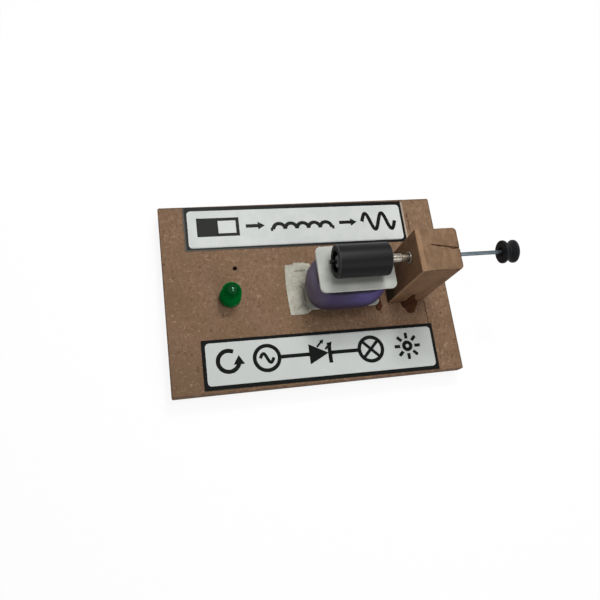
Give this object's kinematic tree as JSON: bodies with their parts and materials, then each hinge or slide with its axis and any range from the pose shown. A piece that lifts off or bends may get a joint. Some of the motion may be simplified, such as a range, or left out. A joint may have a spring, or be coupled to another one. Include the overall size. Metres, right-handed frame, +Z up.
{
  "type": "generator working model",
  "caption": "Demonstration generator on a hardboard base: a pulley-driven shaft in a wooden post spins a ferrite magnet over a taped coil that lights an LED.",
  "frame": {"origin": "middle of the whole footprint, on the table that the feet stand on", "axes": "+X along the shaft towards the pulley, +Y to the rear label, +Z up"},
  "size_m": [0.1712, 0.098, 0.059],
  "materials": {
    "hardboard": "sanded brown fibreboard",
    "rubber_foot": "matte black",
    "printed_label": "white print with a black border under clear film",
    "post_wood": "rough sawn hardwood",
    "bush_metal": "dull nickel",
    "screw_steel": "zinc plated",
    "brown_adhesive": "dried dark brown glue",
    "bobbin_plastic": "white moulded nylon",
    "core_iron": "varnished sheet iron",
    "copper_wire": "enamelled copper",
    "purple_tape": "satin purple insulating tape",
    "paper_tape": "creased cream paper tape",
    "green_epoxy": "green diffused epoxy",
    "lead_frame": "tinned",
    "wire_insulation": "black insulation",
    "solder": "bright tin",
    "shaft_steel": "drawn steel rod",
    "ferrite": "ground black ferrite",
    "hub_plastic": "dark grey moulded",
    "collar_metal": "bright turned",
    "sleeve_metal": "dull tube",
    "pulley_plastic": "black moulded"
  },
  "bodies": {
    "base": {"base_board": "hardboard", "foot_front_left": "rubber_foot", "foot_front_right": "rubber_foot", "foot_rear_left": "rubber_foot", "foot_rear_right": "rubber_foot", "rear_label": "printed_label", "front_label": "printed_label", "bearing_post": "post_wood", "inner_bush": "bush_metal", "outer_bush": "bush_metal", "post_screws": "screw_steel", "post_glue": "brown_adhesive", "coil_bobbin": "bobbin_plastic", "iron_core": "core_iron", "coil_winding": "copper_wire", "coil_wrap": "purple_tape", "coil_glue": "brown_adhesive", "fixing_tape": "paper_tape", "led_lens": "green_epoxy", "led_anode": "lead_frame", "led_cathode": "lead_frame", "lead_wire_front": "wire_insulation", "lead_wire_rear": "wire_insulation", "solder_joints": "solder", "wire_tape_left": "paper_tape", "wire_tape_right": "paper_tape"},
    "rotor": {"rotor_shaft": "shaft_steel", "rotor_magnet": "ferrite", "rotor_hub": "hub_plastic", "rotor_collar": "collar_metal", "spacer_sleeve": "sleeve_metal", "drive_pulley": "pulley_plastic"}
  },
  "joints": [
    {"name": "rotor_spin", "type": "hinge", "parent": "base", "child": "rotor", "pos_m": [0.0398, 0.0006, 0.0483], "axis": [1, 0, 0], "continuous": true}
  ]
}
